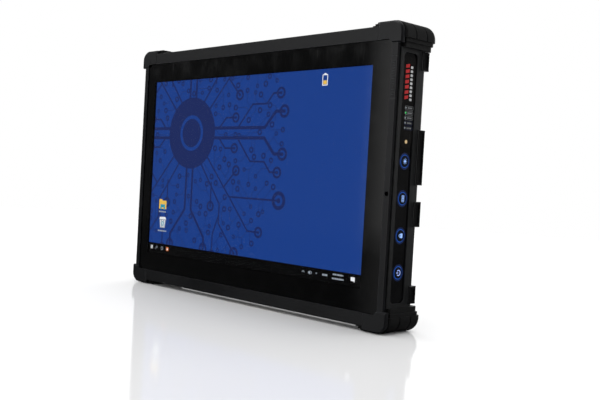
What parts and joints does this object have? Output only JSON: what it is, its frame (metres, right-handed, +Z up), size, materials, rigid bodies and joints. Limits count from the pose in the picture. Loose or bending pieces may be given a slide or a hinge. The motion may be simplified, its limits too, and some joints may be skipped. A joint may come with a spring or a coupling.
{
  "type": "rugged tablet computer",
  "caption": "Rugged field tablet used as a data collector, with rubber corner guards, touch screen, side button panel, hinged port door and latched rear battery.",
  "frame": {"origin": "middle of the bounding box at the lower edge, in the plane that the rubber corners stand on", "axes": "+X along the long side towards the button panel, +Y from the screen towards the back, +Z up along the short side"},
  "size_m": [0.2574, 0.0344, 0.187],
  "materials": {
    "frame_coating": "satin",
    "cover_glass": "gloss",
    "black_mask": "satin",
    "display": "satin",
    "sheet_metal": "brushed",
    "seal_rubber": "matte",
    "magnesium": "cast",
    "circuit_board": "satin",
    "chip_black": "satin",
    "steel_screws": "satin",
    "antenna_film": "satin",
    "housing_plastic": "satin",
    "brass_inserts": "satin",
    "bumper_rubber": "matte",
    "panel_black": "gloss",
    "light_ring": "lit",
    "button_cap": "satin",
    "light_guide": "clear",
    "sensor_lens": "gloss",
    "battery_case": "satin",
    "latch_plastic": "satin",
    "rail_black": "gloss",
    "door_rubber": "matte",
    "gold_contacts": "gloss"
  },
  "bodies": {
    "tablet": {"front_frame": "frame_coating", "touch_glass": "cover_glass", "camera_window": "cover_glass", "display_gasket": "black_mask", "keypad_board": "black_mask", "lcd_panel": "display", "usb_ports": "sheet_metal", "hdmi_port": "sheet_metal", "camera_module": "sheet_metal", "housing_seal": "seal_rubber", "thermal_pad": "seal_rubber", "chassis_plate": "magnesium", "heat_spreader": "magnesium", "main_board": "circuit_board", "memory_module": "circuit_board", "storage_module": "circuit_board", "wireless_module": "circuit_board", "io_board": "circuit_board", "processor": "chip_black", "speakers": "chip_black", "dc_jack": "chip_black", "docking_connector": "chip_black", "microphone": "chip_black", "board_screws": "steel_screws", "housing_screws": "steel_screws", "bumper_screws": "steel_screws", "rail_screws": "steel_screws", "port_door_pin": "steel_screws", "dome_switches": "steel_screws", "antennas": "antenna_film", "rear_housing": "housing_plastic", "side_panel_frame": "housing_plastic", "battery_tray": "housing_plastic", "strap_inserts": "brass_inserts", "bumper_top_right": "bumper_rubber", "bumper_top_left": "bumper_rubber", "bumper_bottom_right": "bumper_rubber", "bumper_bottom_left": "bumper_rubber", "side_panel_window": "panel_black", "status_label": "panel_black", "button_light_rings": "light_ring", "status_lights": "light_guide", "flash_window": "light_guide", "backlight_tray": "light_guide", "light_sensor": "sensor_lens", "battery_pack": "battery_case", "dock_rail_right": "rail_black", "dock_rail_left": "rail_black", "battery_contacts": "gold_contacts", "docking_contacts": "gold_contacts"},
    "display_button": {"display_button": "button_cap"},
    "keyboard_button": {"keyboard_button": "button_cap"},
    "lock_button": {"lock_button": "button_cap"},
    "power_button": {"power_button": "button_cap"},
    "battery_latch_left": {"battery_latch_left": "latch_plastic"},
    "battery_latch_right": {"battery_latch_right": "latch_plastic"},
    "port_door": {"port_door": "door_rubber", "port_door_seal": "seal_rubber"}
  },
  "joints": [
    {"name": "display_button_press", "type": "slide", "parent": "tablet", "child": "display_button", "axis": [-1, 0, 0], "range_m": [0, 0.0004], "stiffness_N_per_m": 1500, "springref_m": -0.0004},
    {"name": "keyboard_button_press", "type": "slide", "parent": "tablet", "child": "keyboard_button", "axis": [-1, 0, 0], "range_m": [0, 0.0004], "stiffness_N_per_m": 1500, "springref_m": -0.0004},
    {"name": "lock_button_press", "type": "slide", "parent": "tablet", "child": "lock_button", "axis": [-1, 0, 0], "range_m": [0, 0.0004], "stiffness_N_per_m": 1500, "springref_m": -0.0004},
    {"name": "power_button_press", "type": "slide", "parent": "tablet", "child": "power_button", "axis": [-1, 0, 0], "range_m": [0, 0.0004], "stiffness_N_per_m": 1500, "springref_m": -0.0004},
    {"name": "battery_latch_left_slide", "type": "slide", "parent": "tablet", "child": "battery_latch_left", "axis": [0, 0, 1], "range_m": [0, 0.0045], "stiffness_N_per_m": 400, "springref_m": -0.003},
    {"name": "battery_latch_right_slide", "type": "slide", "parent": "tablet", "child": "battery_latch_right", "axis": [0, 0, 1], "range_m": [0, 0.0045], "stiffness_N_per_m": 400, "springref_m": -0.003},
    {"name": "port_door_hinge", "type": "hinge", "parent": "tablet", "child": "port_door", "pos_m": [-0.12445, -0.01015, 0.105], "axis": [0, 0, 1], "range_deg": [0, 100]}
  ]
}
